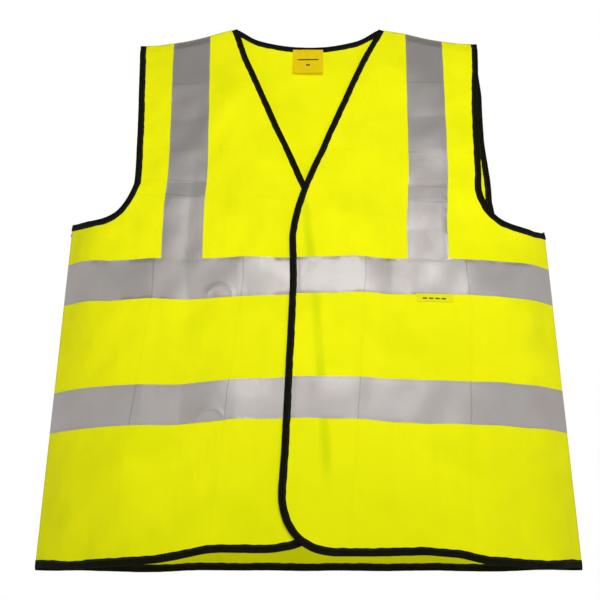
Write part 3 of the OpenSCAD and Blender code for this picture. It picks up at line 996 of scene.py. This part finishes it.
def tape_strip(name, ends, across, side, front, hand, *nodes):
    """A tape. ends(share) gives its two ends at a share of its width, and across is the direction in
    which the share grows. A tape on a lapping front starts tucked under the binding."""
    first, last = (np.array(points) for points in zip(*(ends(share) for share in TAPE_STEPS)))
    length = np.linalg.norm(last - first, axis=1).mean()
    t = np.linspace(0, 1, max(2, int(length / TAPE_COLUMN)))
    points = first[:, None] + (last - first)[:, None] * t[None, :, None]
    edge_wave = 0.15 * MM * np.sin(t * length / (9 * MM) + side + front)
    points = points + np.asarray(across)[None, None] * edge_wave[None, :, None]
    along, share = flat_grid(t * length, TAPE_STEPS)
    crown = 0.12 * MM * np.sin(np.pi * share) - tape_dip(share, along)
    if front:
        crown = crown - 0.35 * MM * (1 - ease(along, 5, 5))
    faces = grid_faces(len(TAPE_STEPS), len(t))
    if across[0] != 0:
        faces = flipped(faces)
    out = (TAPE_OUT[0] + crown, TAPE_OUT[1] + crown)
    x, z = points[..., 0].ravel(), points[..., 1].ravel()
    piece = shell(name, x, z, faces, side, front, out, tape, None, 40)
    if hand == RIGHT:
        piece.data.flip_normals()
    attach(piece, front or "torso", *nodes)


def edge_x(front, z):
    """Where one front's bound edge is at a height between the corner and the neckline."""
    line = front_edge(front)
    line = line[: int(np.argmin(line[:, 1])) + 1]
    line = line[np.argsort(line[:, 1])]
    return float(np.interp(z, line[:, 1], line[:, 0]))


def band_ends(front, z, edge_gap, seam_gap):
    """Both ends of a pattern line along a horizontal tape. front is 0 for a back tape."""
    far = SIDE_X - seam_gap
    near = edge_x(front, z) + edge_gap if front else -far
    return (front * near if front else near, z), (front * far if front else far, z)


def brace_ends(hand, share, gap_low, gap_high):
    """Both ends of a pattern line along a brace, at a share of its width."""
    foot_x = BRACE_FOOT_X + TAPE_W * share
    top_x = BRACE_TOP_X + TAPE_W * share
    return (hand * foot_x, CHEST[1] + gap_low), (hand * top_x, float(shoulder_z(top_x)) - gap_high)


tape_rows = {"left_tape": [], "right_tape": [], "front_brace": [], "back_brace": []}

for side_word, side in SHEETS:
    for word, hand in SIDES:
        tape_strip(f"{word}_{side_word}_brace_tape",
                   lambda share: brace_ends(hand, share, 0.1 * MM, 0.2 * MM),
                   (hand, 0), side, 0.0, hand, f"{word}_{side_word}_brace")
        for share in ROW_SHARE:
            line = brace_ends(hand, share, 1 * MM, 1 * MM)
            tape_rows[f"{side_word}_brace"].append((line, side, 0.0, STITCH_OUT))

for place_name, band in (("chest", CHEST), ("waist", WAIST)):
    for word, front in (*SIDES, ("back", 0.0)):
        side = FRONT if front else BACK
        nodes = [f"{word}_{place_name}_band"] + [f"{word}_{place_name}_band_end"] * (front != 0)
        tape_strip(f"{word}_{place_name}_tape",
                   lambda share: band_ends(front, band[0] + TAPE_W * share, 3.5 * MM, SEAM_GAP),
                   (0, 1), side, front, front, *nodes)
        for share in ROW_SHARE:
            line = band_ends(front, band[0] + TAPE_W * share, BINDING_W, 2 * MM)
            tape_rows[f"{word}_tape" if front else "back_brace"].append((line, side, front, STITCH_OUT))

for name, rows in tape_rows.items():
    body = {"left_tape": LEFT, "right_tape": RIGHT}.get(name, "torso")
    attach(stitch_rows(f"{name}_stitches", rows, tape_thread), body)


# ---- Edge binding ----

# Section of the folded binding in millimetres: distance inwards from the edge, and out
BINDING_SECTION = [
    (8.5, 0.62), (8.4, 1.05), (7.9, 1.25), (6.6, 1.16), (5.2, 1.36), (2.4, 1.44), (0.9, 1.3),
    (0.2, 0.95), (0.0, 0.35), (0.2, -0.2), (0.9, -0.52), (2.6, -0.62), (5.2, -0.52), (6.6, -0.34),
    (7.9, -0.42), (8.3, -0.2), (8.4, 0.18),
]


def bind(name, line, side, front, seed, *nodes):
    """Binding and its stitch row, on both faces, along one bound edge."""
    piece = sweep(name, line, np.array(BINDING_SECTION) * MM, side, front, binding, seed)
    row = pulled_in(line, 6.6 * MM)
    sewn = [(row, side, front, out) for out in (1.2 * MM, -0.42 * MM)]
    attach(piece, front or "torso", *nodes)
    attach(stitch_rows(f"{name}_stitches", sewn, binding_thread), front or "torso")


for word, front in SIDES:
    bind(f"{word}_front_edge_binding", mirrored(front, front_edge(front)), FRONT, front, 3 + int(front),
         f"{word}_front_binding", f"{word}_hem_binding")
    for side_word, side, extra, seed in (("front", FRONT, 0.0, 8), ("back", BACK, BACK_EXTRA, 12)):
        bind(f"{word}_{side_word}_armhole_edge", mirrored(front, armhole_edge(extra)), side, 0.0,
             seed + int(front), f"{word}_{side_word}_armhole_binding")
bind("back_neck_edge_binding", back_neck_edge(), BACK, 0.0, 17, "back_neck_binding")
bind("back_hem_edge_binding", back_hem_edge(), BACK, 0.0, 19, "back_hem_binding")


# ---- Seams, closure and labels ----

for word, hand in SIDES:
    slope = np.array([SHOULDER_X - NECK_X, -SHOULDER_DROP])
    slope /= np.linalg.norm(slope)
    xs = np.linspace(NECK_X + 4 * MM, SHOULDER_X - 1 * MM, 90)
    ripple = 0.12 * MM * np.sin(xs / (2.3 * MM))
    across, risen = drift(FRONT, hand * xs, shoulder_z(xs))
    centres = np.stack([hand * xs + across, 0 * xs, shoulder_z(xs) + risen - 1.6 * MM + ripple], 1)
    rope(f"{word}_shoulder_allowance", centres, 0.9 * MM, 2.0 * MM, (hand * -slope[1], slope[0]),
         seam_cloth, f"{word}_shoulder_seam")
    line = [(hand * at, float(shoulder_z(at)) - 3 * MM) for at in (NECK_X + 9 * MM, SHOULDER_X - 9 * MM)]
    for side_word, side in SHEETS:
        name = f"{word}_shoulder_{side_word}_stitches"
        attach(stitch_rows(name, [(line, side, 0.0, 0.62 * MM)], cloth_thread), "torso")
    low, high = SIDE_HEM_Z + 11 * MM, ARMHOLE_Z - 12 * MM
    zs = np.arange(low, high, 2 * MM)
    wave = 0.5 * MM * np.sin(zs / (3.1 * MM))
    centres = np.stack([hand * (SIDE_X - 6.2 * MM + wave), 0.15 * MM * np.sin(zs / (12 * MM)), zs], 1)
    rope(f"{word}_side_allowance", centres, 0.25 * MM, 5.6 * MM, (1, 0), seam_cloth, f"{word}_side_seam")
    zs = np.arange(low, high, 0.8 * MM)
    zigzag = 1.6 * MM * np.abs((zs / (3.2 * MM)) % 2 - 1)
    centres = np.stack([hand * (SIDE_X - 11.4 * MM + zigzag), -0.3 * MM + 0 * zs, zs], 1)
    rope(f"{word}_side_overlock_thread", centres, 0.16 * MM, 0.16 * MM, (1, 0), cloth_thread)


def fuzzy_patches(name, node, front, back_out, face_out, roughness, look, body, seed):
    """Closure strips over the solids of a node: a plain back with a bristled or looped face."""
    rng = np.random.RandomState(seed)
    low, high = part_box(node)
    half = 13 * MM
    verts, faces, patterns = [], [], []
    for centre in (low.z + half, 0.25 * (sum(CHEST) + sum(WAIST)), high.z - half):
        xs = np.linspace(low.x, high.x, 23)
        zs = np.linspace(centre - half, centre + half, 61)
        x, z = flat_grid(xs, zs)
        jag = roughness * rng.uniform(-1, 1, len(x))
        rim = np.minimum(np.minimum(x - low.x, high.x - x), np.minimum(z - zs[0], zs[-1] - z))
        sheet = grid_faces(len(zs), len(xs))
        if face_out < back_out:
            sheet = flipped(sheet)
        points, closed, pattern = laid_shell(
            x, z, sheet, FRONT, front, (back_out, face_out + jag * ease(rim, 0, 0.8)))
        base = sum(len(part) for part in verts)
        faces += [[base + i for i in face] for face in closed]
        verts.append(points)
        patterns.append(pattern)
    attach(new_piece(name, np.vstack(verts), faces, look, np.vstack(patterns)), body, node)


fuzzy_patches("hook_tape_strips", "hook_strips", RIGHT, 0.6 * MM, 1.45 * MM, 0.18 * MM, hook_nylon,
              "right_front", 71)
fuzzy_patches("loop_tape_strips", "loop_strips", LEFT, 0.2 * MM, -0.6 * MM, 0.12 * MM, loop_nylon,
              "left_front", 73)


def neck_label_points(left, right, top, bottom, columns, rows):
    """A grid of points of the neck label between shares of its width, and of its height from the top."""
    u, v = flat_grid(np.linspace(left, right, columns), np.linspace(bottom, top, rows))
    low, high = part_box("neck_label")
    y = 0.5 * (low.y + high.y) - 1.3 * MM * v ** 2 + 0.5 * MM * v * np.sin(u * 5.1 + 0.7)
    return np.stack([low.x + (high.x - low.x) * u, y, high.z - (high.z - low.z) * v], -1)


def neck_label():
    slab("neck_label_ribbon", neck_label_points(0, 1, 0, 1, 30, 26), 30, 0.45 * MM, gold_ribbon,
         "neck_label", "neck_label")
    for name, *part in (("wide", 0.16, 0.84, 0.40, 0.45), ("small", 0.44, 0.56, 0.62, 0.69)):
        points = neck_label_points(*part, 16, 4) + OUTWARD * 0.26 * MM
        slab(f"neck_label_{name}_bar", points, 16, 0.08 * MM, label_ink, "neck_label")


def chest_label():
    low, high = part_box("chest_label")

    def grid(left, right, bottom, top, columns, rows, out):
        x, z = flat_grid(np.linspace(left, right, columns), np.linspace(bottom, top, rows))
        return lay(FRONT, x, z, out + 0.5 * MM * (high.z - z) / (high.z - low.z))

    points = grid(low.x, high.x, low.z, high.z + 1 * MM, 36, 8, 0.95 * MM)
    slab("chest_label_ribbon", points, 36, 0.4 * MM, yellow_ribbon, "torso", "chest_label")
    bars = 4
    pitch = (high.x - low.x - 14 * MM) / bars
    for index in range(bars):
        start = low.x + 7 * MM + index * pitch
        points = grid(start, start + 0.72 * pitch, low.z + 3.4 * MM, low.z + 5.2 * MM, 8, 3, 1.18 * MM)
        slab(f"chest_label_bar_{index + 1}", points, 8, 0.08 * MM, label_ink, "torso")


neck_label()
chest_label()


# ---- Floor, light and camera ----

def floor():
    material, s = new_material("pale_floor")
    s.set(s.base, {
        "Base Color": (0.9, 0.9, 0.9, 1.0),
        "Roughness": 0.9,
        "Specular IOR Level": 0.1,
        "Emission Color": (1.0, 1.0, 1.0, 1.0),
        "Emission Strength": s.seen_or_cast(0.6, 0.06),
    })
    size = 14.0
    level = -0.45
    mesh = bpy.data.meshes.new("floor")
    corners = [(-size, -size, level), (size, -size, level), (size, size, level), (-size, size, level)]
    mesh.from_pydata(corners, [], [(0, 1, 2, 3)])
    mesh.materials.append(material)
    new_object("floor", mesh)


def world(low_cast, high_cast):
    """White surroundings: plain to the camera, and dimmer overhead as they light the vest."""
    surroundings = bpy.data.worlds.new("studio")
    bpy.context.scene.world = surroundings
    surroundings.use_nodes = True
    s = Shader(surroundings.node_tree, "Background")
    up = s.add("SeparateXYZ", {"Vector": s.add("TexCoord", {}, "Generated")}, "Z")
    s.set(s.base, {
        "Color": (1.0, 1.0, 1.0, 1.0),
        "Strength": s.seen_or_cast(1.0, s.ramp(up, 0.49, 0.65, low_cast, high_cast)),
    })


def soft_light(name, place, target, size, power, mirrored=True):
    """A round softbox; one that isn't mirrored leaves no highlight of its own."""
    data = bpy.data.lights.new(name, "AREA")
    data.shape = "DISK"
    data.size = size
    data.energy = power
    obj = new_object(name, data)
    obj.location = place
    obj.rotation_euler = (Vector(target) - Vector(place)).to_track_quat("-Z", "Y").to_euler()
    obj.visible_camera = False
    obj.visible_glossy = mirrored


def camera():
    """In front of the hem and looking up at the vest, at the photograph's angle."""
    pitch = math.radians(90 + 22.12)
    roll = math.radians(0.14)
    data = bpy.data.cameras.new("camera")
    data.sensor_width = 36.0
    data.lens = 52.88
    obj = new_object("camera", data)
    obj.location = (-10.3 * MM, -1004.9 * MM, -93.5 * MM)
    obj.rotation_euler = (Matrix.Rotation(pitch, 3, "X") @ Matrix.Rotation(roll, 3, "Z")).to_euler()
    bpy.context.scene.camera = obj


floor()
world(0.54, 0.03)
soft_light("key", (0.16, -1.0, 0.5), (0.03, 0.0, 0.38), 0.6, 5.2, mirrored=False)
soft_light("sheen", (0.1, -1.0, 0.92), (0.03, 0.0, 0.33), 0.3, 1.0)
soft_light("back_fill", (0.8, 1.9, 1.3), (0.0, 0.0, 0.35), 1.2, 18.0, mirrored=False)
camera()
bpy.context.scene.view_settings.view_transform = "Standard"
bpy.context.scene.view_settings.look = "None"
